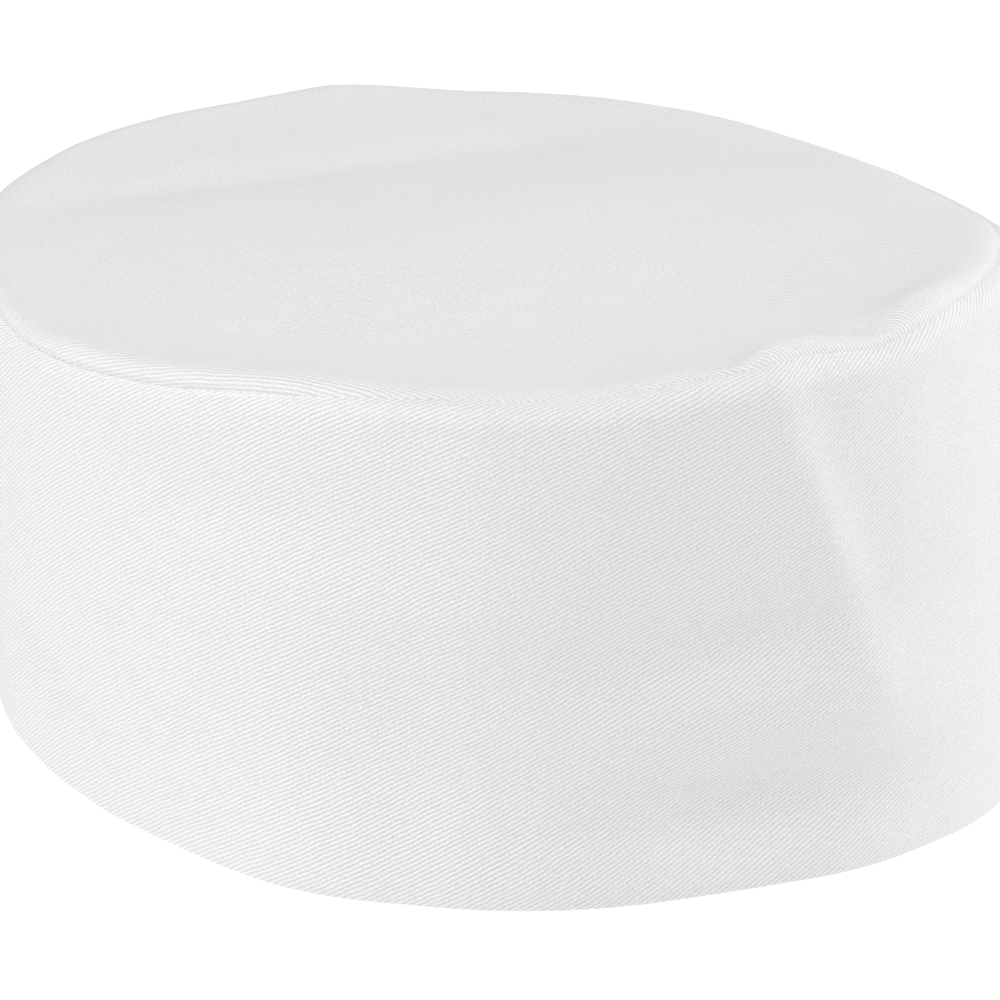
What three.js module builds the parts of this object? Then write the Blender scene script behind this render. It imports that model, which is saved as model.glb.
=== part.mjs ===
// A chef's skull cap: a flat round crown sewn into a tall band, standing by itself on its lower edge.
//
// Both pieces are thin sewn cloth. The band is one strip folded double, so its lower edge is a soft
// fold and its wall is two layers thick. At the rim the cloth rolls over, and the two raw edges are
// turned in at the seam and lie hidden inside. The cap is soft: its sides lean, its rim dips and its
// cloth has shallow folds, which the short tables below set as shares of the named sizes.
//
// Units are millimetres, +Z is up, and the front of the cap looks along -Y. Directions round the cap
// are degrees from the front towards +X.
import * as THREE from 'three';

// The sizes of the whole cap.
const CAP_LENGTH = 202;
const CAP_WIDTH = 168;
const CAP_HEIGHT = 87;

// The cloth and how it is sewn.
const BAND_WALL = 1.6;
const CROWN_WALL = 1.1;
const RIM_ROLL = 4.5;
const SEAM_GAP = 0.3;
const SEAM_LIP = 0.6;
const SEAM_HOLLOW = 0.7;
const SEAM_HOLLOW_REACH = 2.2;
const TURNED_EDGE = 6;
const PUFF_REACH = 3.2;
const HEM_ROUND = 0.3;
const SEAM_REACH = 8 * RIM_ROLL;

// The crown's rest height in the middle, and how far in from the rim its shape settles, its dip is
// deepest and its folds begin.
const CROWN_REST = 0.955 * CAP_HEIGHT;
const CROWN_SETTLE = 30;
const CROWN_DIP_AT = 14;
const CROWN_FOLDS_FROM = 9;

// How finely the cloth is faceted.
const STEPS_ROUND = 84;

// The cap's sides. hem and rim: how far the lower edge and the rim stand outside the plain oval.
// high: the rim above the named height. dip: how far the crown sinks just inside the rim. puff: how
// far the crown's edge swells beside the seam. These are shares of the cap's height. turn: how far
// over the rolled rim the seam lies, in degrees from the upright wall.
const SIDES = [
  { at: -180, hem: 0.005, rim: 0.000, high: -0.012, turn: 85, dip: 0.004, puff: 0.008 },
  { at: -145, hem: 0.000, rim: 0.005, high: -0.036, turn: 65, dip: 0.004, puff: 0.008 },
  { at: -115, hem: -0.015, rim: 0.015, high: -0.065, turn: 58, dip: 0.000, puff: 0.006 },
  { at: -90, hem: -0.008, rim: 0.050, high: -0.086, turn: 30, dip: 0.000, puff: 0.006 },
  { at: -70, hem: 0.010, rim: 0.045, high: -0.076, turn: 24, dip: 0.004, puff: 0.006 },
  { at: -50, hem: 0.023, rim: 0.030, high: -0.050, turn: 34, dip: 0.010, puff: 0.005 },
  { at: -35, hem: -0.040, rim: 0.020, high: -0.046, turn: 66, dip: 0.012, puff: 0.002 },
  { at: -20, hem: -0.066, rim: 0.005, high: -0.048, turn: 100, dip: 0.012, puff: 0.004 },
  { at: -5, hem: -0.072, rim: -0.010, high: -0.014, turn: 84, dip: 0.012, puff: 0.010 },
  { at: 10, hem: -0.022, rim: -0.010, high: -0.006, turn: 62, dip: 0.008, puff: 0.012 },
  { at: 25, hem: 0.030, rim: -0.010, high: 0.014, turn: 72, dip: 0.006, puff: 0.012 },
  { at: 45, hem: 0.025, rim: -0.005, high: 0.016, turn: 80, dip: 0.006, puff: 0.012 },
  { at: 70, hem: 0.008, rim: 0.000, high: -0.026, turn: 84, dip: 0.004, puff: 0.010 },
  { at: 100, hem: 0.000, rim: 0.000, high: -0.026, turn: 84, dip: 0.004, puff: 0.010 },
  { at: 130, hem: 0.000, rim: 0.005, high: -0.004, turn: 86, dip: 0.004, puff: 0.008 },
  { at: 152, hem: 0.005, rim: 0.005, high: -0.010, turn: 86, dip: 0.004, puff: 0.008 },
  { at: 168, hem: 0.005, rim: 0.000, high: 0.006, turn: 86, dip: 0.004, puff: 0.008 },
];

// Shallow folds of the band. at: direction of the middle. high: its height as a share of the cap's.
// wide: half width in degrees. tall: half height as a share. slant: rise for one half width. out: how
// far it stands out, as a share of the cap's height.
const BAND_FOLDS = [
  { at: -31, high: 0.55, wide: 7, tall: 0.28, slant: 0.00, out: 0.018 },
  { at: -31, high: 0.00, wide: 14, tall: 0.12, slant: 0.00, out: 0.075 },
  { at: -5, high: 0.00, wide: 13, tall: 0.08, slant: 0.00, out: 0.034 },
  { at: -18, high: 0.14, wide: 7, tall: 0.09, slant: 0.00, out: 0.012 },
  { at: -7, high: 0.14, wide: 11, tall: 0.06, slant: 0.01, out: -0.034 },
  { at: -8, high: 0.33, wide: 11, tall: 0.06, slant: 0.01, out: 0.020 },
  { at: -9, high: 0.47, wide: 11, tall: 0.05, slant: 0.01, out: -0.020 },
  { at: -1, high: 0.76, wide: 5.5, tall: 0.10, slant: -0.22, out: 0.024 },
  { at: 7, high: 0.28, wide: 7, tall: 0.20, slant: 0.00, out: 0.018 },
  { at: -58, high: 0.70, wide: 24, tall: 0.06, slant: 0.00, out: -0.010 },
  { at: -84, high: 0.21, wide: 12, tall: 0.05, slant: -0.075, out: -0.013 },
];

// Shallow folds of the crown. right and back: place of the middle as shares of half the width and
// half the length. long and wide: half sizes as shares of half the width. turn: degrees from right
// to back. up: how far it rises, as a share of the cap's height.
const CROWN_FOLDS = [
  { right: 0.15, back: 0.00, long: 0.50, wide: 0.32, turn: -40, up: 0.028 },
  { right: 0.66, back: -0.16, long: 0.40, wide: 0.26, turn: -55, up: 0.034 },
  { right: -0.42, back: -0.42, long: 0.36, wide: 0.20, turn: -42, up: -0.030 },
  { right: -0.16, back: 0.52, long: 0.60, wide: 0.08, turn: -6, up: -0.018 },
  { right: -0.64, back: -0.46, long: 0.34, wide: 0.12, turn: -82, up: -0.010 },
];

// Small puckers where the crown is eased into the band. at: direction. wide: half width in degrees.
// in: distance inside the seam as a share of the cap's height. deep: half depth of it, likewise.
// up: how far it rises, likewise.
const PUCKERS = [
  { at: -7, wide: 2.0, in: 0.050, deep: 0.030, up: -0.018 },
  { at: -1, wide: 4.0, in: 0.035, deep: 0.030, up: 0.016 },
  { at: 9, wide: 2.6, in: 0.055, deep: 0.035, up: -0.020 },
  { at: 18, wide: 5.0, in: 0.045, deep: 0.040, up: 0.016 },
];

const rollArc = (RIM_ROLL * Math.PI) / 2;

/** Height of a bell of half width 1 at a distance from its middle. */
const bell = (distance) => Math.exp(-0.5 * distance * distance);

/** An angle brought into -180 to 180 degrees. */
const wrapped = (angle) => ((((angle + 180) % 360) + 360) % 360) - 180;

/** A column of the sides' table at any direction: a smooth closed curve through its rows. */
function around(column, angle) {
  const count = SIDES.length;
  const row = (i) => SIDES[((i % count) + count) % count];
  const place = (i) => row(i).at + 360 * Math.floor(i / count);
  const slope = (i) => (row(i + 1)[column] - row(i - 1)[column]) / (place(i + 1) - place(i - 1));
  const at = wrapped(angle);
  let i = count - 1;
  while (row(i).at > at) i -= 1;
  const step = place(i + 1) - place(i);
  const t = (at - place(i)) / step;
  const rest = 1 - t;
  return (
    (1 + 2 * t) * rest * rest * row(i)[column] +
    t * rest * rest * step * slope(i) +
    t * t * (3 - 2 * t) * row(i + 1)[column] -
    t * t * rest * step * slope(i + 1)
  );
}

/** Radius of the plain oval in a direction. */
function ovalRadius(angle) {
  const turn = THREE.MathUtils.degToRad(angle);
  return 1 / Math.hypot(Math.sin(turn) / (CAP_WIDTH / 2), Math.cos(turn) / (CAP_LENGTH / 2));
}

/** Height of the rim's top in a direction. */
const rimHeight = (angle) => CAP_HEIGHT * (1 + around('high', angle));

/** How far the band's folds stand out, at a direction and a height. */
function bandFold(angle, z) {
  let out = 0;
  for (const fold of BAND_FOLDS) {
    const side = wrapped(angle - fold.at) / fold.wide;
    const up = (z / CAP_HEIGHT - fold.high - fold.slant * side) / fold.tall;
    out += fold.out * CAP_HEIGHT * bell(side) * bell(up);
  }
  return out;
}

/** How far the crown's folds rise, at a place on the crown. */
function crownFold(x, y) {
  let up = 0;
  for (const fold of CROWN_FOLDS) {
    const turn = THREE.MathUtils.degToRad(fold.turn);
    const right = x - (fold.right * CAP_WIDTH) / 2;
    const back = y - (fold.back * CAP_LENGTH) / 2;
    const along = (right * Math.cos(turn) + back * Math.sin(turn)) / ((fold.long * CAP_WIDTH) / 2);
    const across = (back * Math.cos(turn) - right * Math.sin(turn)) / ((fold.wide * CAP_WIDTH) / 2);
    up += fold.up * CAP_HEIGHT * bell(along) * bell(across);
  }
  return up;
}

/** Radius of the upright wall in a direction, at a height. */
function wallRadius(angle, z) {
  const share = z / (rimHeight(angle) - RIM_ROLL);
  const lean = (1 - share) * around('hem', angle) + share * around('rim', angle);
  return ovalRadius(angle) + CAP_HEIGHT * lean + bandFold(angle, z);
}

/** Radius of the wall where the rim's roll starts. */
const rimRadius = (angle) => wallRadius(angle, rimHeight(angle) - RIM_ROLL);

/** Distance along the cloth from the start of the roll to the seam. */
const seamRun = (angle) => RIM_ROLL * THREE.MathUtils.degToRad(around('turn', angle));

/** Distance along the cloth from the start of the roll to the middle of the crown. */
const middleRun = (angle) => rollArc + rimRadius(angle) - RIM_ROLL;

/** Height of the crown, a distance in from the top of the roll. */
function crownHeight(angle, inward) {
  const whole = rimRadius(angle) - RIM_ROLL;
  const left = Math.max(0, 1 - inward / whole);
  const turn = THREE.MathUtils.degToRad(angle);
  const radius = whole * left;
  const end = Math.exp(-((whole / CROWN_SETTLE) ** 2));
  const rise = (Math.exp(-((inward / CROWN_SETTLE) ** 2)) - end) / (1 - end);
  const dip = (inward / CROWN_DIP_AT) ** 2 * Math.exp(2 - (2 * inward) / CROWN_DIP_AT) * Math.min(1, 2 * left);
  const fold = crownFold(radius * Math.sin(turn), -radius * Math.cos(turn));
  const hold = 1 - Math.exp(-((inward / CROWN_FOLDS_FROM) ** 2));
  return (
    CROWN_REST +
    (rimHeight(angle) - CROWN_REST) * rise -
    CAP_HEIGHT * around('dip', angle) * dip +
    fold * hold
  );
}

/** The outer skin, as radius and height, at a run along the cloth from the start of the roll. */
function skin(angle, run) {
  const start = rimHeight(angle) - RIM_ROLL;
  if (run < 0) return new THREE.Vector2(wallRadius(angle, start + run), start + run);
  if (run < rollArc) {
    const bend = run / RIM_ROLL;
    const out = rimRadius(angle) - RIM_ROLL * (1 - Math.cos(bend));
    return new THREE.Vector2(out, start + RIM_ROLL * Math.sin(bend));
  }
  const inward = run - rollArc;
  return new THREE.Vector2(rimRadius(angle) - RIM_ROLL - inward, crownHeight(angle, inward));
}

/** The direction of the cloth at a run, from the hem towards the middle of the crown. */
function along(angle, run) {
  const step = 0.05;
  return skin(angle, run + step).sub(skin(angle, run - step)).normalize();
}

/** The direction out of the cloth at a run. */
function outward(angle, run) {
  const way = along(angle, run);
  return new THREE.Vector2(way.y, -way.x);
}

/** How far the cloth stands out near the seam: hollow at the seam, full beside it on the crown. */
function seamRelief(angle, run) {
  const past = run - seamRun(angle);
  let out = -SEAM_HOLLOW * bell(past / SEAM_HOLLOW_REACH);
  if (past > 0) {
    const swell = past / PUFF_REACH;
    out += CAP_HEIGHT * around('puff', angle) * swell * Math.exp(1 - swell);
  }
  for (const pucker of PUCKERS) {
    const side = wrapped(angle - pucker.at) / pucker.wide;
    const inward = (past / CAP_HEIGHT - pucker.in) / pucker.deep;
    out += pucker.up * CAP_HEIGHT * bell(side) * bell(inward);
  }
  return out;
}

/** A point of the cloth at a run, sunk by a depth below the outer skin. */
function cloth(angle, run, depth) {
  const lift = run > rollArc + SEAM_REACH ? 0 : seamRelief(angle, run);
  return skin(angle, run).addScaledVector(outward(angle, run), lift - depth);
}

// Distances from the seam at which the cloth's rows lie, closer where it bends more.
const NEAR_SEAM = [0, 0.2, 0.6, 1.2, 2.1, 3.4, 5.2, 7.6];
const LIP_DROP = [SEAM_LIP, 0.3 * SEAM_LIP, 0, 0, 0, 0, 0, 0];
const WALL_SHARES = [0.88, 0.77, 0.66, 0.58, 0.49, 0.40, 0.31, 0.23, 0.15, 0.08];
const CROWN_SHARES = [0.84, 0.68, 0.52, 0.36, 0.18];

/** The turned-in edge of a wall at the seam: out along the seam, round its end and back. */
function turnedEdge(angle, side, wall) {
  const run = seamRun(angle) + (side * SEAM_GAP) / 2;
  const lip = cloth(angle, run, SEAM_LIP);
  const inward = outward(angle, seamRun(angle)).negate();
  const away = along(angle, seamRun(angle)).multiplyScalar(side * wall);
  const tip = lip.clone().addScaledVector(inward, TURNED_EDGE);
  return [tip, tip.clone().add(away)];
}

/** The band's cross-section in a direction: a closed loop of radius and height. */
function bandSection(angle) {
  const start = rimHeight(angle) - RIM_ROLL;
  const edge = seamRun(angle) - SEAM_GAP / 2;
  const lowest = edge - NEAR_SEAM[NEAR_SEAM.length - 1];
  const wallRun = (share) => -start + share * (start + lowest);
  const hem = wallRadius(angle, 0);
  const outer = [new THREE.Vector2(hem - HEM_ROUND, 0), new THREE.Vector2(hem, 2 * HEM_ROUND)];
  for (const share of [...WALL_SHARES].reverse()) outer.push(cloth(angle, wallRun(share), 0));
  for (let i = NEAR_SEAM.length - 1; i >= 0; i -= 1) {
    outer.push(cloth(angle, edge - NEAR_SEAM[i], LIP_DROP[i]));
  }
  const inner = [cloth(angle, edge - BAND_WALL, BAND_WALL)];
  for (const past of NEAR_SEAM.filter((run) => run > BAND_WALL + 1)) {
    inner.push(cloth(angle, edge - past, BAND_WALL));
  }
  for (const share of WALL_SHARES) inner.push(cloth(angle, wallRun(share), BAND_WALL));
  inner.push(new THREE.Vector2(hem - BAND_WALL, 2 * HEM_ROUND));
  inner.push(new THREE.Vector2(hem - BAND_WALL + HEM_ROUND, 0));
  return [...outer, ...turnedEdge(angle, -1, BAND_WALL), ...inner];
}

/** The crown's cross-section in a direction, from the middle of its face to the middle beneath. */
function crownSection(angle) {
  const edge = seamRun(angle) + SEAM_GAP / 2;
  const first = edge + NEAR_SEAM[NEAR_SEAM.length - 1];
  const faceRun = (share) => first + (1 - share) * (middleRun(angle) - first);
  const face = [];
  for (const share of [...CROWN_SHARES].reverse()) face.push(cloth(angle, faceRun(share), 0));
  for (let i = NEAR_SEAM.length - 1; i >= 0; i -= 1) {
    face.push(cloth(angle, edge + NEAR_SEAM[i], LIP_DROP[i]));
  }
  const beneath = [cloth(angle, edge + CROWN_WALL, CROWN_WALL)];
  for (const past of NEAR_SEAM.filter((run) => run > CROWN_WALL + 0.5)) {
    beneath.push(cloth(angle, edge + past, CROWN_WALL));
  }
  for (const share of CROWN_SHARES) beneath.push(cloth(angle, faceRun(share), CROWN_WALL));
  return [...face, ...turnedEdge(angle, 1, CROWN_WALL), ...beneath];
}

/** A point of the cap from its direction, radius and height. */
function placed(angle, point) {
  const turn = THREE.MathUtils.degToRad(angle);
  return [point.x * Math.sin(turn), -point.x * Math.cos(turn), point.y];
}

/** A mesh geometry from points and triangles. */
function shell(points, triangles) {
  const geometry = new THREE.BufferGeometry();
  geometry.setAttribute('position', new THREE.Float32BufferAttribute(points.flat(), 3));
  geometry.setIndex(triangles.flat());
  geometry.computeVertexNormals();
  return geometry;
}

/** Cross-sections all the way round the cap, as rows of points. */
function sectionsRound(section) {
  const columns = [];
  for (let i = 0; i < STEPS_ROUND; i += 1) {
    const angle = (360 * i) / STEPS_ROUND - 180;
    columns.push(section(angle).map((point) => placed(angle, point)));
  }
  return columns;
}

/** The band: closed cross-sections joined into a ring. */
function bandGeometry() {
  const columns = sectionsRound(bandSection);
  const rows = columns[0].length;
  const triangles = [];
  for (let i = 0; i < STEPS_ROUND; i += 1) {
    const next = (i + 1) % STEPS_ROUND;
    for (let j = 0; j < rows; j += 1) {
      const up = (j + 1) % rows;
      triangles.push([i * rows + j, next * rows + j, next * rows + up]);
      triangles.push([i * rows + j, next * rows + up, i * rows + up]);
    }
  }
  return shell(columns.flat(), triangles);
}

/** The crown: cross-sections joined side by side and closed at the middle of both faces. */
function crownGeometry() {
  const columns = sectionsRound(crownSection);
  const rows = columns[0].length;
  const points = columns.flat();
  const top = points.length;
  points.push([0, 0, crownHeight(0, middleRun(0) - rollArc)]);
  points.push([0, 0, points[top][2] - CROWN_WALL]);
  const triangles = [];
  for (let i = 0; i < STEPS_ROUND; i += 1) {
    const next = (i + 1) % STEPS_ROUND;
    triangles.push([top, i * rows, next * rows]);
    triangles.push([top + 1, next * rows + rows - 1, i * rows + rows - 1]);
    for (let j = 0; j < rows - 1; j += 1) {
      triangles.push([i * rows + j, i * rows + j + 1, next * rows + j + 1]);
      triangles.push([i * rows + j, next * rows + j + 1, next * rows + j]);
    }
  }
  return shell(points, triangles);
}

/** A named piece of white cotton twill. */
function twillPiece(name, geometry) {
  const twill = new THREE.MeshStandardMaterial({ color: '#f4f4f2', roughness: 0.92, metalness: 0 });
  const mesh = new THREE.Mesh(geometry, twill);
  mesh.name = name;
  return mesh;
}

const cap = new THREE.Group();
cap.name = 'chef_skull_cap';
cap.add(twillPiece('side_band', bandGeometry()));
cap.add(twillPiece('crown', crownGeometry()));

// The cap stands with its lower edge on the ground, centred over the origin.
const extent = new THREE.Box3().setFromObject(cap);
const middle = extent.getCenter(new THREE.Vector3());
cap.position.set(-middle.x, -middle.y, -extent.min.z);

export default cap;
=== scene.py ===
# %% [markdown]
# A chef's skull cap, sewn from white cotton twill
#
# The cap is two pieces of cloth. A long strip, folded double along its middle, is the side band, and
# its fold is the edge the cap stands on. A round piece is the crown. They meet in a plain seam near
# the rim, with the raw edges turned inside. It is all one white cloth, so nothing but its shape, its
# ribs and soft light tell the pieces apart. That makes it a good lesson in how little is needed, and
# in how exact that little has to be.
#
# The solids made for the physics come first. Their box is kept, so that the dressed cap can be held
# against it at the end.

# %% Start from the solids
import math

import bpy
import numpy as np
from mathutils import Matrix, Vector


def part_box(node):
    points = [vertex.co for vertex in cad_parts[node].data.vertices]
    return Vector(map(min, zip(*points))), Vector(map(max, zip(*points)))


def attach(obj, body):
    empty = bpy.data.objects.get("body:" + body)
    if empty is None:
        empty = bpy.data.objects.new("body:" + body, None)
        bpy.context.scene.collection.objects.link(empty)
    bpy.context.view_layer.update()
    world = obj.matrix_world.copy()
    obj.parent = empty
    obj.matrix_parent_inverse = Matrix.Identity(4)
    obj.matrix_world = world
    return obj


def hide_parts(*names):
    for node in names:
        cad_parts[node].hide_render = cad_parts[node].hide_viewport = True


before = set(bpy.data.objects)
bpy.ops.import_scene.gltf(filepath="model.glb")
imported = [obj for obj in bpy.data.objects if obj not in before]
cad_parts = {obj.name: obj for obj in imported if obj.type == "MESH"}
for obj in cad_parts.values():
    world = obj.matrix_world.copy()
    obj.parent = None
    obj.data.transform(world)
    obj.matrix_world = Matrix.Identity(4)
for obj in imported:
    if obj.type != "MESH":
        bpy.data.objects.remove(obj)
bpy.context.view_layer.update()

# %% [markdown]
# The sizes of the cap
#
# A cap is cut from a few lengths: how long and wide the head is, how tall the band stands, and how
# thick the cloth is. They could be read off the solids, but a cloth surface needs its own rule for
# every point, so the same named lengths are repeated here in millimetres. Directions round the cap
# are degrees from the front, which looks along -Y, towards +X.

# %% Named lengths, in millimetres
CAP_LENGTH = 202.0
CAP_WIDTH = 168.0
CAP_HEIGHT = 87.0
BAND_WALL = 1.6  # two layers of twill
CROWN_WALL = 1.1
RIM_ROLL = 4.5  # radius of the roll from the wall to the crown
ROLL_ARC = RIM_ROLL * math.pi / 2
SEAM_GAP = 0.005  # between band and crown, too narrow to see through
SEAM_LIP_REACH = 1.1  # distance from the seam at which its edges begin to curl down
SEAM_HOLLOW = 0.7  # depth of the wider hollow along the seam
SEAM_HOLLOW_REACH = 2.2
SEAM_REACH = 8 * RIM_ROLL  # further in than this, the seam moves nothing
TURNED_EDGE = 6.0  # cloth turned in at the seam
PUFF_REACH = 3.2  # distance from the seam at which the swelling is highest
CROWN_REST = 0.955 * CAP_HEIGHT  # height of the crown away from the rim
CROWN_SETTLE = 30.0  # distance over which the crown falls from the rim to its rest
CROWN_DIP_AT = 14.0  # distance from the roll at which the dip is deepest
CROWN_FOLDS_FROM = 9.0  # nearer the roll than this, the folds are held down
SLOPE_STEP = 0.05  # half the step over which a slope is measured
MM = 0.001  # one millimetre in metres

print("cap, mm:", CAP_LENGTH, CAP_WIDTH, CAP_HEIGHT)

# %% [markdown]
# How the cloth stands
#
# A limp cap never stands as a true cylinder. Its sides lean, its rim dips, and the seam lies further
# in where the band rolls over. Sculpting would give that once. A short table with a row for each
# side can be read and mended, and a smooth closed curve through the rows gives every direction
# between them. All its lengths are shares of the cap's height.

# %% The sides of the cap
# at: the direction. hem, rim: how far the wall leans out there. high: how much higher than the
# cap's height the rim stands. turn: degrees round the roll of the rim to the seam. dip: how far
# the crown sinks inside the rim. puff: how far it swells beside the seam.
SIDE_COLUMNS = ("at", "hem", "rim", "high", "turn", "dip", "puff")
SIDES = (
    (-180, 0.005, 0.000, -0.012, 85, 0.004, 0.008),
    (-145, 0.000, 0.005, -0.036, 65, 0.004, 0.008),
    (-115, -0.015, 0.015, -0.065, 58, 0.000, 0.006),
    (-90, -0.008, 0.050, -0.086, 30, 0.000, 0.006),
    (-70, 0.010, 0.045, -0.076, 24, 0.004, 0.006),
    (-50, 0.023, 0.030, -0.050, 34, 0.010, 0.005),
    (-35, -0.040, 0.020, -0.046, 66, 0.012, 0.002),
    (-20, -0.066, 0.005, -0.048, 100, 0.012, 0.004),
    (-5, -0.072, -0.010, -0.014, 84, 0.012, 0.010),
    (10, -0.022, -0.010, -0.006, 62, 0.008, 0.012),
    (25, 0.030, -0.010, 0.014, 72, 0.006, 0.012),
    (45, 0.025, -0.005, 0.016, 80, 0.006, 0.012),
    (70, 0.008, 0.000, -0.026, 84, 0.004, 0.010),
    (100, 0.000, 0.000, -0.026, 84, 0.004, 0.010),
    (130, 0.000, 0.005, -0.004, 86, 0.004, 0.008),
    (152, 0.005, 0.005, -0.010, 86, 0.004, 0.008),
    (168, 0.005, 0.000, 0.006, 86, 0.004, 0.008),
)


def wrapped(angle):
    """The angle less whole turns, between -180 and 180 degrees."""
    return (angle + 180) % 360 - 180


def around(column, angle):
    """A column of SIDES at any direction: a cubic between two rows, its slope at each row taken
    from the rows on both sides of it, all the way round."""
    rows = np.array(SIDES)
    at = rows[:, 0]
    value = rows[:, SIDE_COLUMNS.index(column)]
    at = np.concatenate([at[-2:] - 360, at, at[:3] + 360])
    value = np.concatenate([value[-2:], value, value[:3]])
    slope = np.zeros(len(at))
    slope[1:-1] = (value[2:] - value[:-2]) / (at[2:] - at[:-2])
    here = wrapped(angle)
    i = np.searchsorted(at, here, side="right") - 1
    step = at[i + 1] - at[i]
    t = (here - at[i]) / step
    rest = 1 - t
    return (
        (1 + 2 * t) * rest**2 * value[i]
        + t * rest**2 * step * slope[i]
        + t**2 * (3 - 2 * t) * value[i + 1]
        - t**2 * rest * step * slope[i + 1]
    )


def bell(distance):
    """A bell that is 1 in its middle: e to the power of minus half the distance squared."""
    return np.exp(-0.5 * distance**2)


print("rim height at the front, mm:", round(CAP_HEIGHT * (1 + float(around("high", 0.0))), 1))

# %% [markdown]
# Folds of the band and the crown
#
# Stored flat in a drawer and put down again, the cap keeps soft creases and hollows. Cloth physics
# could find such folds, but not these ones. Each fold here is a smooth bell, long and narrow, that
# pushes the cloth out or in by a share of the cap's height. Puckers are the smallest of them, where
# the edge of the crown was a little longer than the band it was sewn to.

# %% The folds
# at, wide and turn are degrees. high, tall, slant, out, in, deep and up are shares of the cap's
# height. right, long and wide of the crown are shares of half its width, and back is one of half
# its length.
BAND_FOLDS = (  # at, high, wide, tall, slant, out
    (-31, 0.55, 7, 0.28, 0.00, 0.018),
    (-31, 0.00, 14, 0.12, 0.00, 0.075),
    (-5, 0.00, 13, 0.08, 0.00, 0.034),
    (-18, 0.14, 7, 0.09, 0.00, 0.012),
    (-7, 0.14, 11, 0.06, 0.01, -0.034),
    (-8, 0.33, 11, 0.06, 0.01, 0.020),
    (-9, 0.47, 11, 0.05, 0.01, -0.020),
    (-1, 0.76, 5.5, 0.10, -0.22, 0.024),
    (7, 0.28, 7, 0.20, 0.00, 0.018),
    (-58, 0.70, 24, 0.06, 0.00, -0.010),
    (-84, 0.21, 12, 0.05, -0.075, -0.013),
)
CROWN_FOLDS = (  # right, back, long, wide, turn, up
    (0.15, 0.00, 0.50, 0.32, -40, 0.028),
    (0.66, -0.16, 0.40, 0.26, -55, 0.034),
    (-0.42, -0.42, 0.36, 0.20, -42, -0.030),
    (-0.16, 0.52, 0.60, 0.08, -6, -0.018),
    (-0.64, -0.46, 0.34, 0.12, -82, -0.010),
)
PUCKERS = (  # at, wide, in, deep, up
    (-7, 2.0, 0.050, 0.030, -0.018),
    (-1, 4.0, 0.035, 0.030, 0.016),
    (9, 2.6, 0.055, 0.035, -0.020),
    (18, 5.0, 0.045, 0.040, 0.016),
)


def band_fold(angle, height):
    """The sum of the band's bells: each a bell of the direction times a bell of the height, which
    rises along its slant."""
    out = 0 * (angle + height)
    for at, high, wide, tall, slant, reach in BAND_FOLDS:
        side = wrapped(angle - at) / wide
        up = (height / CAP_HEIGHT - high - slant * side) / tall
        out = out + reach * CAP_HEIGHT * bell(side) * bell(up)
    return out


def crown_fold(x, y):
    """The sum of the crown's bells: each a bell along its turned long side times one across it."""
    up = 0 * x
    half = CAP_WIDTH / 2
    for right, back, long, wide, turn, rise in CROWN_FOLDS:
        cos, sin = math.cos(math.radians(turn)), math.sin(math.radians(turn))
        dx = x - right * half
        dy = y - back * CAP_LENGTH / 2
        along = (dx * cos + dy * sin) / (long * half)
        across = (dy * cos - dx * sin) / (wide * half)
        up = up + rise * CAP_HEIGHT * bell(along) * bell(across)
    return up


print("folds:", len(BAND_FOLDS), "in the band,", len(CROWN_FOLDS), "in the crown")

# %% [markdown]
# One skin for both pieces
#
# The outside of the cap is a single surface of two parameters. One is the direction. The other is the
# run, the distance along the cloth from where the rim starts to roll: below zero it is the wall,
# then a quarter circle, then the crown in to its middle. A surface lofted by a tool would need the
# same curves drawn first. With the run as a parameter, the seam is simply a line on the skin, and
# both pieces are cut from it along that line.

# %% The skin as radius and height


def oval(angle):
    """Radius of an ellipse: one over the length of the direction's two parts, each over its half
    axis."""
    turn = np.radians(angle)
    return 1 / np.hypot(np.sin(turn) / (CAP_WIDTH / 2), np.cos(turn) / (CAP_LENGTH / 2))


def rim_height(angle):
    """Height of the rim's top: the cap's height and the side's share of it."""
    return CAP_HEIGHT * (1 + around("high", angle))


def wall_radius(angle, height):
    """The oval, plus a straight lean from the hem's share to the rim's, plus the folds."""
    share = height / (rim_height(angle) - RIM_ROLL)
    lean = (1 - share) * around("hem", angle) + share * around("rim", angle)
    return oval(angle) + CAP_HEIGHT * lean + band_fold(angle, height)


def rim_radius(angle):
    """Radius of the wall where the roll starts."""
    return wall_radius(angle, rim_height(angle) - RIM_ROLL)


def seam_run(angle):
    """Run at which the seam lies: the roll's radius times the turn in radians."""
    return RIM_ROLL * np.radians(around("turn", angle))


def middle_run(angle):
    """Run at the middle of the crown: the roll's arc and the rest of the radius."""
    return ROLL_ARC + rim_radius(angle) - RIM_ROLL


def crown_height(angle, inward):
    """The rim's height fades to the crown's rest height like a bell, less a dip just inside the
    rim, plus the folds, which are held down beside the rim."""
    whole = rim_radius(angle) - RIM_ROLL
    left = np.maximum(0, 1 - inward / whole)
    turn = np.radians(angle)
    end = np.exp(-((whole / CROWN_SETTLE) ** 2))
    rise = (np.exp(-((inward / CROWN_SETTLE) ** 2)) - end) / (1 - end)
    near = inward / CROWN_DIP_AT
    dip = near**2 * np.exp(2 - 2 * near) * np.minimum(1, 2 * left)
    fold = crown_fold(whole * left * np.sin(turn), -whole * left * np.cos(turn))
    hold = 1 - np.exp(-((inward / CROWN_FOLDS_FROM) ** 2))
    return (
        CROWN_REST
        + (rim_height(angle) - CROWN_REST) * rise
        - CAP_HEIGHT * around("dip", angle) * dip
        + fold * hold
    )


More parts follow.
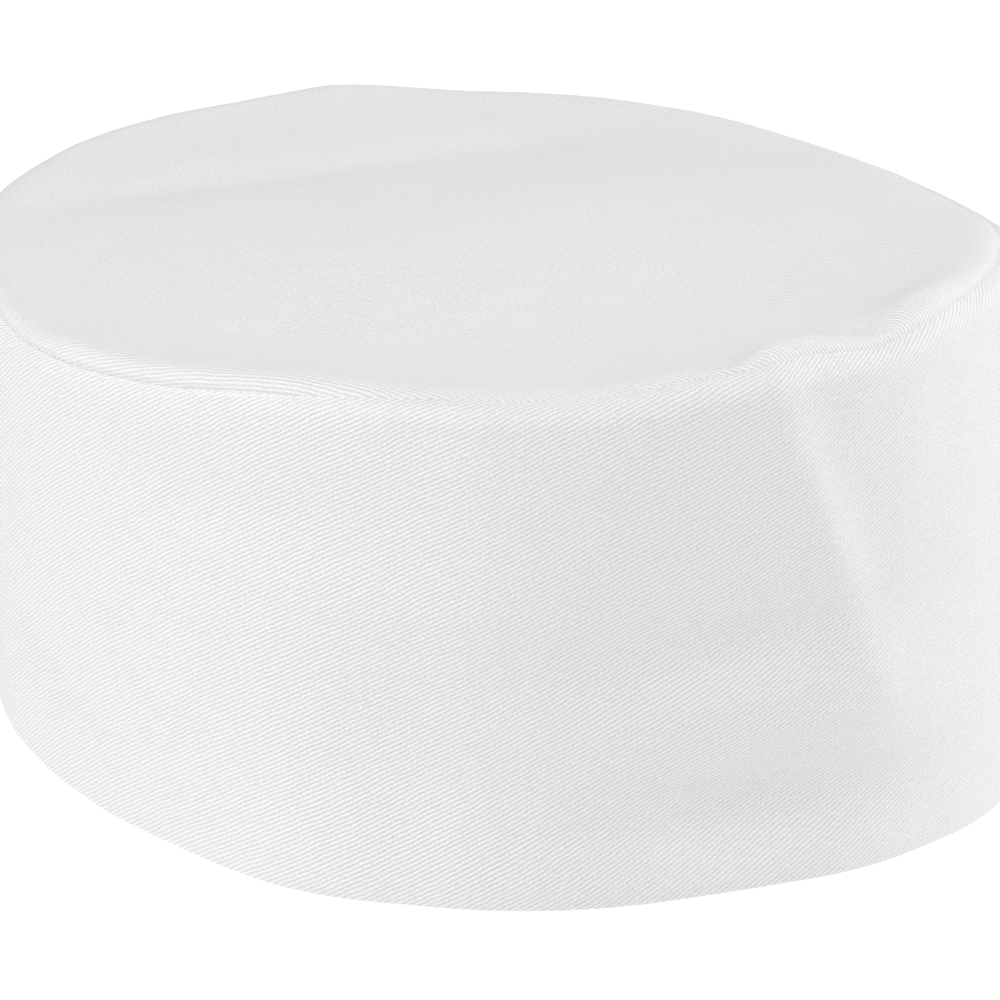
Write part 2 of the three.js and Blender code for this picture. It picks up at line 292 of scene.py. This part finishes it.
def skin(angle, run):
    """Radius and height of the skin: the wall, a quarter circle, then the crown, chosen by run."""
    start = rim_height(angle) - RIM_ROLL
    rim = rim_radius(angle)
    wall = (wall_radius(angle, np.maximum(start + run, 0)), start + run)
    bend = np.clip(run / RIM_ROLL, 0, math.pi / 2)
    roll = (rim - RIM_ROLL * (1 - np.cos(bend)), start + RIM_ROLL * np.sin(bend))
    inward = np.maximum(run - ROLL_ARC, 0)
    top = (rim - RIM_ROLL - inward, crown_height(angle, inward))
    chosen = [
        np.where(run < 0, wall[i], np.where(run < ROLL_ARC, roll[i], top[i])) for i in (0, 1)
    ]
    return np.stack(chosen, -1)


hem_radius = wall_radius(np.linspace(-180, 180, 361), 0)
shortest, longest = round(float(hem_radius.min()), 1), round(float(hem_radius.max()), 1)
print("skin radius at the hem, mm:", shortest, "to", longest)

# %% Directions along and out of the skin


def direction_along(angle, run):
    """Unit step along the skin: the difference of two near points over its length."""
    step = skin(angle, run + SLOPE_STEP) - skin(angle, run - SLOPE_STEP)
    return step / np.linalg.norm(step, axis=-1, keepdims=True)


def direction_out(angle, run):
    """Unit step out of the skin: the step along it, turned a quarter."""
    way = direction_along(angle, run)
    return np.stack([way[..., 1], -way[..., 0]], -1)


front = np.array([0.0])
print("step up the wall at the front:", direction_along(front, front - CAP_HEIGHT / 2).round(2)[0])

# %% [markdown]
# The seam, and cloth that is never quite smooth
#
# At a plain seam the stitches pull both edges down into a soft groove, and the free cloth beside it
# swells. Between the folds the cloth still wanders by a tenth of a millimetre or so, which is what
# keeps a white surface from looking like plaster. A noise texture could fake that in the material,
# but real shape shades right from every side. So a few dozen long waves, with directions and
# lengths drawn from a seeded generator, are added up and move the cloth in or out.

# %% Relief near the seam and slow waves
BACK_SEAM_DEEP = 0.55
BACK_SEAM_REACH = 0.9
BACK_SEAM_FADE = 1.5  # distance over which it ends below the crown's seam
WAVE_COUNT = 36
WAVE_SEED = 7
WAVE_SHORTEST = 11.0
WAVE_LONGEST = 46.0
WAVE_RISE = 0.0011  # height of a wave as a share of its length
SEAM_DEPTHS = (  # direction, millimetres that the seam is drawn in there
    (-180, 0.30),
    (-110, 0.36),
    (-85, 0.50),
    (-62, 0.42),
    (-50, 0.28),
    (-40, 0.08),
    (-16, 0.05),
    (0, 0.14),
    (14, 0.30),
    (40, 0.30),
    (100, 0.30),
    (180, 0.30),
)
random = np.random.default_rng(WAVE_SEED)
wave_length = np.exp(
    random.uniform(math.log(WAVE_SHORTEST), math.log(WAVE_LONGEST), WAVE_COUNT)
)
wave_way = random.normal(size=(WAVE_COUNT, 3))
wave_way /= np.linalg.norm(wave_way, axis=1, keepdims=True)
wave_phase = random.uniform(0, 2 * math.pi, WAVE_COUNT)


def slow_waves(points):
    """The sum of plane waves through space, each as high as a fixed share of its length."""
    total = np.zeros(points.shape[:-1])
    for length, way, phase in zip(wave_length, wave_way, wave_phase):
        total += WAVE_RISE * length * np.sin(2 * math.pi / length * (points @ way) + phase)
    return total


def seam_relief(angle, run):
    """A bell-shaped groove at the seam, a swelling beside it that rises and fades, the puckers."""
    past = run - seam_run(angle)
    out = -SEAM_HOLLOW * bell(past / SEAM_HOLLOW_REACH)
    swell = np.maximum(past, 0) / PUFF_REACH
    out = out + CAP_HEIGHT * around("puff", angle) * swell * np.exp(1 - swell)
    for at, wide, inside, deep, up in PUCKERS:
        side = wrapped(angle - at) / wide
        inward = (past / CAP_HEIGHT - inside) / deep
        out = out + up * CAP_HEIGHT * bell(side) * bell(inward)
    return np.where(run > ROLL_ARC + SEAM_REACH, 0, out)


def seam_depth(angle):
    """How deep the seam is drawn in: straight lines between the rows of SEAM_DEPTHS."""
    at, deep = np.array(SEAM_DEPTHS).T
    return np.interp(wrapped(angle), at, deep)


def seam_lip(angle, past):
    """How far the edge curls down into the seam: half a wave of a cosine, from the seam's depth
    at the edge to nothing where the lip ends."""
    near = np.clip((np.abs(past) - SEAM_GAP / 2) / SEAM_LIP_REACH, 0, 1)
    return seam_depth(angle) * (0.5 + 0.5 * np.cos(math.pi * near))


def back_seam(angle, run):
    """A bell-shaped groove straight up the back, where the two ends of the band are joined."""
    across = np.radians(wrapped(angle - 180)) * CAP_LENGTH / 2
    wall = np.clip((seam_run(angle) - run) / BACK_SEAM_FADE, 0, 1)
    return -BACK_SEAM_DEEP * bell(across / BACK_SEAM_REACH) * wall


def placed(angle, section):
    """Points in space: the radius times the sine and minus cosine of the direction, and height."""
    turn = np.radians(angle)
    radius, height = section[..., 0], section[..., 1]
    return np.stack([radius * np.sin(turn), -radius * np.cos(turn), height], -1)


def cloth(angle, run, depth):
    """Radius and height of the cloth: the skin, moved out by relief and waves and in by depth."""
    base = skin(angle, run)
    lift = seam_relief(angle, run) + slow_waves(placed(angle, base)) - depth
    return base + direction_out(angle, run) * lift[..., None]


print("waves:", WAVE_COUNT, "from", round(wave_length.min()), "to", round(wave_length.max()), "mm")

# %% [markdown]
# From a grid of points to a mesh
#
# Every surface here is a grid: a column for each direction and a row for each step along the cloth.
# A grid that closes on itself needs no modifiers and no tidying by hand. The solids were centred on
# their box, which an uneven cap shifts off the oval's middle, so the cloth is slid by the same
# amount. Each corner also carries the place it had in the flat cloth, in metres, as the UV map,
# because a woven pattern has to follow the cloth and not the room.

# %% Columns round the cap
COLUMNS_ROUND = 560
COLUMNS_AT_SEAM = 30
SEAM_COLUMNS_REACH = 2.4


def directions():
    """Even steps from -180 up to 180 degrees, with more of them close to the back seam."""
    even = np.linspace(-180, 180, COLUMNS_ROUND, endpoint=False)
    close = SEAM_COLUMNS_REACH * np.linspace(-1, 1, COLUMNS_AT_SEAM) ** 3
    angles = np.unique(np.round(np.concatenate([even, wrapped(close + 180)]), 4))
    return angles[angles < 180][:, None]


angles = directions()
print("columns:", len(angles))

# %% The slide onto the solid
SOLID_COLUMNS = 84
SOLID_ROWS = 60
band_low, band_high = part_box("side_band")
solid_angles = np.linspace(-180, 180, SOLID_COLUMNS, endpoint=False)[:, None]
solid_shares = np.linspace(0, 1, SOLID_ROWS)[None, :]
solid_runs = -solid_shares * (rim_height(solid_angles) - RIM_ROLL)
outside = placed(solid_angles, cloth(solid_angles, solid_runs, 0.0)).reshape(-1, 3)
middle = (outside.min(0) + outside.max(0)) / 2
SLIDE_X = (band_low.x + band_high.x) / (2 * MM) - middle[0]
SLIDE_Y = (band_low.y + band_high.y) / (2 * MM) - middle[1]
print("slide, mm:", round(SLIDE_X, 2), round(SLIDE_Y, 2))

# %% The mesh maker


def fit_to_solid(points):
    """Slides points sideways from the oval's own middle to the middle of the solid."""
    return points + np.array([SLIDE_X, SLIDE_Y, 0.0])


def cloth_mesh(name, points, flat, last_flat, loop, poles=()):
    """A smooth mesh from a grid of points. Column n joins column n + 1, and the last the first,
    with last_flat as its far side's place in the flat cloth. loop joins the last row to the
    first. poles closes a grid's first and last row with a point each."""
    columns, rows = points.shape[:2]
    i, j = np.meshgrid(np.arange(columns), np.arange(rows if loop else rows - 1), indexing="ij")
    nxt, up = (i + 1) % columns, (j + 1) % rows
    quads = np.stack([i * rows + j, nxt * rows + j, nxt * rows + up, i * rows + up], -1)
    far = np.concatenate([flat, last_flat[None]], 0)
    places = np.stack([far[i, j], far[i + 1, j], far[i + 1, up], far[i, up]], -2)
    corners = [points.reshape(-1, 3)] + [np.array([point]) for point, _ in poles]
    faces = [quads.reshape(-1, 4)]
    uv = [places.reshape(-1, 2)]
    ring = np.arange(columns)
    for k, (_, row) in enumerate(poles):
        first, second = ring * rows + row % rows, (ring + 1) % columns * rows + row % rows
        tip = np.full(columns, columns * rows + k)
        sides = [first, second]
        ends = [far[ring, row], far[ring + 1, row]]
        if row == 0:
            sides.reverse()
            ends.reverse()
        faces.append(np.stack([tip, *sides], -1))
        uv.append(np.stack([np.zeros((columns, 2)), *ends], 1).reshape(-1, 2))
    mesh = bpy.data.meshes.new(name)
    every = [face for group in faces for face in group.tolist()]
    mesh.from_pydata((fit_to_solid(np.concatenate(corners)) * MM).tolist(), [], every)
    mesh.polygons.foreach_set("use_smooth", np.ones(len(every), bool))
    layer = mesh.uv_layers.new(name="cloth")
    layer.data.foreach_set("uv", (np.concatenate(uv) * MM).astype(np.float32).ravel())
    mesh.update()
    piece = bpy.data.objects.new(name, mesh)
    bpy.context.scene.collection.objects.link(piece)
    print(name, "has", sum(len(face) - 2 for face in every), "triangles")
    return piece


# %% [markdown]
# The side band
#
# The band is a strip folded double, so its section is a long narrow loop: up the inner layer, round
# the soft fold at the hem, up the outer layer, over the rim and down into the seam. A flat strip
# with Solidify would square off the hem. Following the loop keeps the fold round, and the place in
# the flat cloth can be counted along it from the hem, as it was on the cutting table.

# %% Build the side band
WALL_ROWS = 46
ROLL_ROWS = 14
LIP_ROWS = 10
CLOSER = 1.8
CLOSE_REACH = 1.3 * SEAM_LIP_REACH
NEAR_SEAM = 8.0
INNER_ROWS = 44
HEM_ROWS = 7
HEM_ROUND = BAND_WALL / 2
EDGE_DOWN = (0.25, 0.5, 0.75, 0.94)  # shares of the turned edge's depth
EDGE_OVER = (0.2, 0.8)  # shares of the wall, across the raw edge
EDGE_BACK = (0.94, 0.7, 0.45)  # shares of the depth, on the way back


def rows_near_seam():
    """Distances from the seam: even ones in to the lip, then ever closer ones down to nothing, as a
    power of even steps, so that the rounding at the very edge stays too narrow to see."""
    wide = np.linspace(NEAR_SEAM, CLOSE_REACH, ROLL_ROWS, endpoint=False)
    close = CLOSE_REACH * np.linspace(1, 0, LIP_ROWS) ** CLOSER
    return np.concatenate([wide, close])[None, :]


def turned_edge(angle, side, wall):
    """The allowance: from the lip straight in under the seam, and back again a wall away."""
    seam = seam_run(angle)
    edge = seam + side * SEAM_GAP / 2
    lip = cloth(angle, edge, seam_depth(angle))
    inward = -direction_out(angle, seam) * TURNED_EDGE
    away = direction_along(angle, seam) * side * wall
    down = [lip + inward * share for share in EDGE_DOWN]
    over = [lip + inward + away * share for share in EDGE_OVER]
    back = [lip + away + inward * share for share in EDGE_BACK]
    return np.concatenate(down + over + back, 1)


def band_section(angle):
    """Round the loop: up the outer layer to the seam, round the turned edge, down the inner layer,
    and round the hem's fold."""
    start = rim_height(angle) - RIM_ROLL
    edge = seam_run(angle) - SEAM_GAP / 2
    low = HEM_ROUND - start
    share = np.linspace(0, 1, WALL_ROWS, endpoint=False)[None, :]
    wall = low + share * (edge - NEAR_SEAM - low)
    run = np.concatenate([wall, edge - rows_near_seam()], 1)
    full = angle + 0 * run
    outer = cloth(full, run, seam_lip(full, run - seam_run(angle)))
    outer += direction_out(full, run) * back_seam(full, run)[..., None]
    share = np.linspace(0, 1, INNER_ROWS)[None, :]
    run = edge - BAND_WALL + share * (low - edge + BAND_WALL)
    inner = cloth(angle + 0 * run, run, BAND_WALL)
    hem = outer[:, :1]
    bend = np.linspace(math.pi, 2 * math.pi, HEM_ROWS + 2)[None, 1:-1]
    fold = np.stack([HEM_ROUND * (np.cos(bend) - 1), HEM_ROUND * np.sin(bend)], -1)
    return np.concatenate([outer, turned_edge(angle, -1, BAND_WALL), inner, hem + fold], 1)


print("rows in the band's loop:", band_section(front[:, None]).shape[1])

# %% The band as a closed grid


def cloth_distance(points):
    """Distance along the rows of a grid, counted from the first."""
    step = np.linalg.norm(np.diff(points, axis=1), axis=-1)
    return np.concatenate([np.zeros((len(points), 1)), np.cumsum(step, axis=1)], 1)


def round_distance(points):
    """Distance round the cap along one row of a grid, and its whole length."""
    step = np.linalg.norm(np.roll(points, -1, axis=0) - points, axis=-1)
    return np.concatenate([[0], np.cumsum(step)[:-1]]), step.sum()


# The grid starts in the middle of the hem's fold. Past the raw edge the inner layer counts down to
# the hem from the other side.
half_hem = (HEM_ROWS + 1) // 2
points = np.roll(placed(angles, band_section(angles)), half_hem, axis=1)
up_cloth = cloth_distance(points)
seam_row = half_hem + WALL_ROWS + ROLL_ROWS + LIP_ROWS
raw_row = seam_row + len(EDGE_DOWN) + 1
last_step = np.linalg.norm(points[:, -1] - points[:, 0], axis=-1)[:, None]
up_cloth[:, raw_row:] -= up_cloth[:, -1:] + last_step
girth, band_length = round_distance(points[:, WALL_ROWS // 2])
flat = np.stack([girth[:, None] + 0 * up_cloth, up_cloth], -1)
last = flat[0] + np.array([band_length, 0.0])
band = cloth_mesh("band_cloth", points, flat, last, loop=True)
print("band length, mm:", round(float(band_length)))
print("outer layer, hem to seam, mm:", round(float(up_cloth[0, seam_row - 1])))

# %% [markdown]
# The crown
#
# The crown is a flat round of the same cloth, a little dished because nothing holds it up. The grid
# runs from the seam to the middle, where one point closes it, and back beneath. In the flat cloth
# every point keeps its direction and its distance from the middle, which is what laying the cut
# piece on the table would show.

# %% Build the crown
CROWN_ROWS = 62
BENEATH_ROWS = 40
MIDDLE_SHARE = 0.012


def crown_section(angle):
    """From beside the middle out to the seam, down the turned edge, and back beneath."""
    edge = seam_run(angle) + SEAM_GAP / 2
    share = np.linspace(MIDDLE_SHARE, 1, CROWN_ROWS, endpoint=False)[None, :]
    whole = middle_run(angle)
    face = whole + share * (edge + NEAR_SEAM - whole)
    run = np.concatenate([face, edge + rows_near_seam()], 1)
    full = angle + 0 * run
    outer = cloth(full, run, seam_lip(full, run - seam_run(angle)))
    share = np.linspace(0, 1 - MIDDLE_SHARE, BENEATH_ROWS)[None, :]
    under = edge + CROWN_WALL + share * (whole - edge - CROWN_WALL)
    beneath = cloth(angle + 0 * under, under, CROWN_WALL)
    return np.concatenate([outer, turned_edge(angle, 1, CROWN_WALL), beneath], 1)


section = crown_section(angles)
points = placed(angles, section)
out_cloth = cloth_distance(points) + section[:, :1, 0]
raw_row = CROWN_ROWS + ROLL_ROWS + LIP_ROWS + len(EDGE_DOWN) + 1
raw_edge = out_cloth[:, raw_row : raw_row + 1]
out_cloth[:, raw_row:] = 2 * raw_edge - out_cloth[:, raw_row:]
turn = np.radians(angles)
flat = np.stack([out_cloth * np.sin(turn), -out_cloth * np.cos(turn)], -1)
top = float(crown_height(front, middle_run(front) - ROLL_ARC)[0])
top += float(slow_waves(np.array([[0.0, 0.0, top]]))[0])
poles = (((0.0, 0.0, top), 0), ((0.0, 0.0, top - CROWN_WALL), -1))
crown = cloth_mesh("crown_cloth", points, flat, flat[0], loop=False, poles=poles)
print("crown height in the middle, mm:", round(top, 1))

# %% [markdown]
# White cotton twill
#
# Twill is woven with its crossings stepped by one thread each row, which makes slanting ribs. On this
# cloth they are about two thirds of a millimetre apart and rise to the right. Bleached white cotton
# scatters nearly all light, so the ribs show as the faintest light and dark lines. An image could
# carry them, but a wave worked out from the flat cloth stays sharp at any size and runs over the rim
# as the real threads do. Two small helpers keep the recipe short to read: one undoes the curve of
# a screen colour, the other places a node.

# %% Small helpers for materials


def linear(code):
    """A hex colour as linear values: the sRGB curve undone for each channel."""
    values = [int(code[i : i + 2], 16) / 255 for i in (1, 3, 5)]
    low = [v / 12.92 if v <= 0.04045 else ((v + 0.055) / 1.055) ** 2.4 for v in values]
    return (*low, 1.0)


def add(tree, kind, sockets=None, **settings):
    """Adds a node. Each socket gets a plain value, or a link from another node's output."""
    made = tree.nodes.new(kind)
    for name, value in settings.items():
        setattr(made, name, value)
    for socket, value in (sockets or {}).items():
        if isinstance(value, bpy.types.NodeSocket):
            tree.links.new(value, made.inputs[socket])
        else:
            made.inputs[socket].default_value = value
    return made.outputs


print("middle grey as linear:", round(linear("#808080")[0], 3))

# %% [markdown]
# Ribs, yarn and fuzz
#
# The ribs could be modelled, but hundreds of rolls less than a tenth of a millimetre high would show
# no more than a wave does. The wave counts ribs across the flat cloth, and slow noise bends the lines
# a little, for no loom and no washing leaves them straight. The same wave makes the bump and a
# painted shade in the colour, darker in the valleys between the ribs and lighter on their tops, where
# the yarn's own shade and light fall. A finer grain stands for the single yarns, and a trace of sheen
# for the fuzz that washing raises.

# %% The twill material
RIB_PITCH = 0.665  # millimetres from rib to rib
RIB_RISE = 0.04  # lower than the real rib, because the painted shade in the colour carries part of its shading
WOBBLE_SIZE = 9.0  # millimetres from bend to bend of a line
WOBBLE_RIBS = 1.1  # ribs by which the noise shifts a line at most
GRAIN_SIZE = 0.45  # coarser than the yarn, which is too fine for the picture
RIB_PAINTED_SHADE = 0.5  # painted shade: how far the rib swings the colour between the darker colour and white
GRAIN_TONE = 1.6  # the same swing for the grain, a random tone of the yarn


def woven_twill(name, rib_turn, white, grain_and_painted_shade):
    """Cotton twill, woven and washed: matt, with a slight fuzz that lights its edges. The rib is
    the sine of the distance across the lines, which wander a little, plus a grain of yarn ends. The
    rib also paints shade into the colour: darker between the ribs, lighter on their tops."""
    material = bpy.data.materials.new(name)
    material.use_nodes = True
    tree = material.node_tree
    tree.nodes.clear()
    turn = math.radians(rib_turn)
    per_metre = 1 / (RIB_PITCH * MM)
    across = (-math.sin(turn) * per_metre, math.cos(turn) * per_metre, 0)
    flat = add(tree, "ShaderNodeUVMap", uv_map="cloth")["UV"]
    wander = add(
        tree,
        "ShaderNodeTexNoise",
        {"Vector": flat, "Scale": 1 / (WOBBLE_SIZE * MM), "Detail": 3.0, "Roughness": 0.6},
        noise_dimensions="2D",
    )["Fac"]
    grain = add(
        tree,
        "ShaderNodeTexNoise",
        {"Vector": flat, "Scale": 1 / (GRAIN_SIZE * MM), "Detail": 2.0, "Roughness": 0.7},
        noise_dimensions="2D",
    )["Fac"]
    place = add(tree, "ShaderNodeVectorMath", {0: flat, 1: across}, operation="DOT_PRODUCT")
    count = add(
        tree,
        "ShaderNodeMath",
        {0: wander, 1: WOBBLE_RIBS, 2: place["Value"]},
        operation="MULTIPLY_ADD",
    )["Value"]
    phase = add(tree, "ShaderNodeMath", {0: count, 1: 2 * math.pi}, operation="MULTIPLY")["Value"]
    rib = add(tree, "ShaderNodeMath", {0: phase}, operation="SINE")["Value"]
    bump = add(
        tree, "ShaderNodeBump", {"Strength": 1.0, "Distance": RIB_RISE * MM, "Height": rib}
    )["Normal"]
    flecks = add(
        tree,
        "ShaderNodeMath",
        {0: grain, 1: GRAIN_TONE, 2: 0.5 - 0.5 * GRAIN_TONE},
        operation="MULTIPLY_ADD",
    )["Value"]
    # Painted shade: the rib's wave pulls the colour to the darker one between the ribs and to white
    # on their tops, and the grain adds a random tone of the yarn.
    grain_and_painted_shading = add(
        tree, "ShaderNodeMath", {0: rib, 1: RIB_PAINTED_SHADE, 2: flecks}, operation="MULTIPLY_ADD"
    )["Value"]
    colour = add(
        tree,
        "ShaderNodeMix",
        {"Factor": grain_and_painted_shading, 6: linear(grain_and_painted_shade), 7: linear(white)},
        data_type="RGBA",
    )[2]
    body = add(
        tree,
        "ShaderNodeBsdfPrincipled",
        {
            "Base Color": colour,
            "Roughness": 0.92,
            "Specular IOR Level": 0.2,
            "Sheen Weight": 0.08,
            "Sheen Roughness": 0.5,
            "Normal": bump,
        },
    )["BSDF"]
    add(tree, "ShaderNodeOutputMaterial", {"Surface": body})
    print(name, "has", len(tree.nodes), "nodes")
    return material


BAND_RIBS = 30.0  # degrees by which the ribs rise to the right in the flat cloth
CROWN_RIBS = -60.0  # the round was cut with its ribs another way
# The darker colour is painted shade between the ribs, and also the dark end of the yarn grain's
# random tone.
TWILL_WHITE = "#fcfcfc"
TWILL_GRAIN_AND_PAINTED_SHADE = "#e2e2e2"
band_twill = woven_twill("white_cotton_twill_band", BAND_RIBS, TWILL_WHITE, TWILL_GRAIN_AND_PAINTED_SHADE)
crown_twill = woven_twill("white_cotton_twill_crown", CROWN_RIBS, TWILL_WHITE, TWILL_GRAIN_AND_PAINTED_SHADE)
band.data.materials.append(band_twill)
crown.data.materials.append(crown_twill)

# %% [markdown]
# Join the pieces to the part
#
# Each cloth piece stands for one solid and rides on the part's one body. Nothing here moves, so
# there are no joints to blend across.

# %% Ride and replace
for piece, node, slot in ((band, "side_band", "band_twill"), (crown, "crown", "crown_twill")):
    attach(piece, "root")
    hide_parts(node)
    print(piece.name, "stands for", node)

# %% [markdown]
# The table
#
# White on white needs light from below as well as above: a glowing sheet of paper lights the lower
# part of the cap, as a white sweep does in a studio. Plain white paper would send back the lamps'
# light too and wash out the folds, so the paper is a mid grey and its own glow makes it white.

# %% Table
TABLE_HALF = 3.0
PAPER_GLOW = 0.9  # nearly the white of the picture, by itself
corners = [(-TABLE_HALF, -TABLE_HALF, 0), (TABLE_HALF, -TABLE_HALF, 0)]
corners += [(TABLE_HALF, TABLE_HALF, 0), (-TABLE_HALF, TABLE_HALF, 0)]
table_mesh = bpy.data.meshes.new("table")
table_mesh.from_pydata(corners, [], [(0, 1, 2, 3)])
table = bpy.data.objects.new("table", table_mesh)
bpy.context.scene.collection.objects.link(table)
paper = bpy.data.materials.new("matt_white_paper")
paper.use_nodes = True
sheet = paper.node_tree.nodes["Principled BSDF"]
sheet.inputs["Base Color"].default_value = linear("#898989")
sheet.inputs["Roughness"].default_value = 1.0
sheet.inputs["Specular IOR Level"].default_value = 0.0
sheet.inputs["Emission Color"].default_value = (1, 1, 1, 1)
sheet.inputs["Emission Strength"].default_value = PAPER_GLOW
table_mesh.materials.append(paper)
print("table", 2 * TABLE_HALF, "m wide")

# %% [markdown]
# The camera
#
# Seen from a little above and from the wearer's right, the cap shows its round top, its seam and
# the height of its band at once. From less than a metre away the near side of the hem reaches
# further down the picture than the far side of the rim reaches up, so the camera looks at a place
# a little below the cap's heart. The cap then fills the picture from side to side, with even
# margins above and below.

# %% Camera
VIEW_TURN = -30.0
VIEW_RISE = 17.5
VIEW_DISTANCE = 820.0
FOCAL_PIXELS = 4763.0
PICTURE_PIXELS = 1000
SHIFT_RIGHT = 10.4
SHIFT_DOWN = 53.9
HEART_HEIGHT = 45.0
scene = bpy.context.scene
turn, rise = math.radians(VIEW_TURN), math.radians(VIEW_RISE)
back = Vector((math.sin(turn) * math.cos(rise), -math.cos(turn) * math.cos(rise), math.sin(rise)))
right = Vector((math.cos(turn), math.sin(turn), 0))
up = back.cross(right)
heart = Vector((SLIDE_X, SLIDE_Y, HEART_HEIGHT)) * MM
place = heart + back * VIEW_DISTANCE * MM
one_pixel = VIEW_DISTANCE * MM / FOCAL_PIXELS
aim = heart + (right * SHIFT_RIGHT - up * SHIFT_DOWN) * one_pixel
lens = bpy.data.cameras.new("camera")
lens.sensor_width = 36.0
lens.lens = FOCAL_PIXELS / PICTURE_PIXELS * lens.sensor_width
camera = bpy.data.objects.new("camera", lens)
scene.collection.objects.link(camera)
camera.location = place
camera.rotation_euler = (place - aim).to_track_quat("Z", "Y").to_euler()
scene.camera = camera
print("camera", round(lens.lens, 1), "mm lens,", round((place - heart).length, 2), "m away")

# %% [markdown]
# Lamps and sky
#
# A single lamp would flatten the front and lose the folds. Two large soft panels stand low on the
# left and behind the right side, and graze the cloth so that every fold has a light and a dark
# flank. High panels light the crown, and weak ones fill the front. The sky adds almost nothing,
# just enough to keep the grooves from going black.

# %% Lamps and sky
LAMP_DISTANCE = 1.6  # metres
LAMP_POWER = 30.25  # watts of a lamp with a strength of one
LAMP_AIM = Vector((0, 0, 0.04))  # about the middle of the cap
PANEL_WIDE, PANEL_TALL = 1.0, 0.7  # metres
SKY_GLOW = 0.02
LAMPS = (  # name, degrees right of the camera, degrees up, strength
    ("left_side", -80, 12, 0.269),
    ("left_front", -50, 25, 0.03),
    ("right_front", 50, 25, 0.065),
    ("right_side", 110, 20, 0.406),
    ("behind", 180, 30, 0.084),
    ("overhead", 0, 85, 0.144),
    ("high_left", -90, 60, 0.059),
    ("high_front", 0, 60, 0.415),
)


def soft_lamp(name, turn_right, rise_up, strength):
    """A large soft panel on a sphere round the cap, facing its middle."""
    turned, raised = math.radians(turn_right + VIEW_TURN), math.radians(rise_up)
    way = Vector(
        (math.sin(turned) * math.cos(raised), -math.cos(turned) * math.cos(raised), math.sin(raised))
    )
    panel = bpy.data.lights.new(name, "AREA")
    panel.shape = "RECTANGLE"
    panel.size, panel.size_y = PANEL_WIDE, PANEL_TALL
    panel.energy = LAMP_POWER * strength
    lamp = bpy.data.objects.new(name, panel)
    scene.collection.objects.link(lamp)
    lamp.location = way * LAMP_DISTANCE + LAMP_AIM
    lamp.rotation_euler = way.to_track_quat("Z", "Y").to_euler()


for row in LAMPS:
    soft_lamp(*row)
sky = bpy.data.worlds.new("studio")
scene.world = sky
sky.use_nodes = True
glow = sky.node_tree.nodes["Background"]
glow.inputs["Color"].default_value = (1, 1, 1, 1)
glow.inputs["Strength"].default_value = SKY_GLOW
scene.view_settings.view_transform = "Standard"
print("lamps:", len(LAMPS))
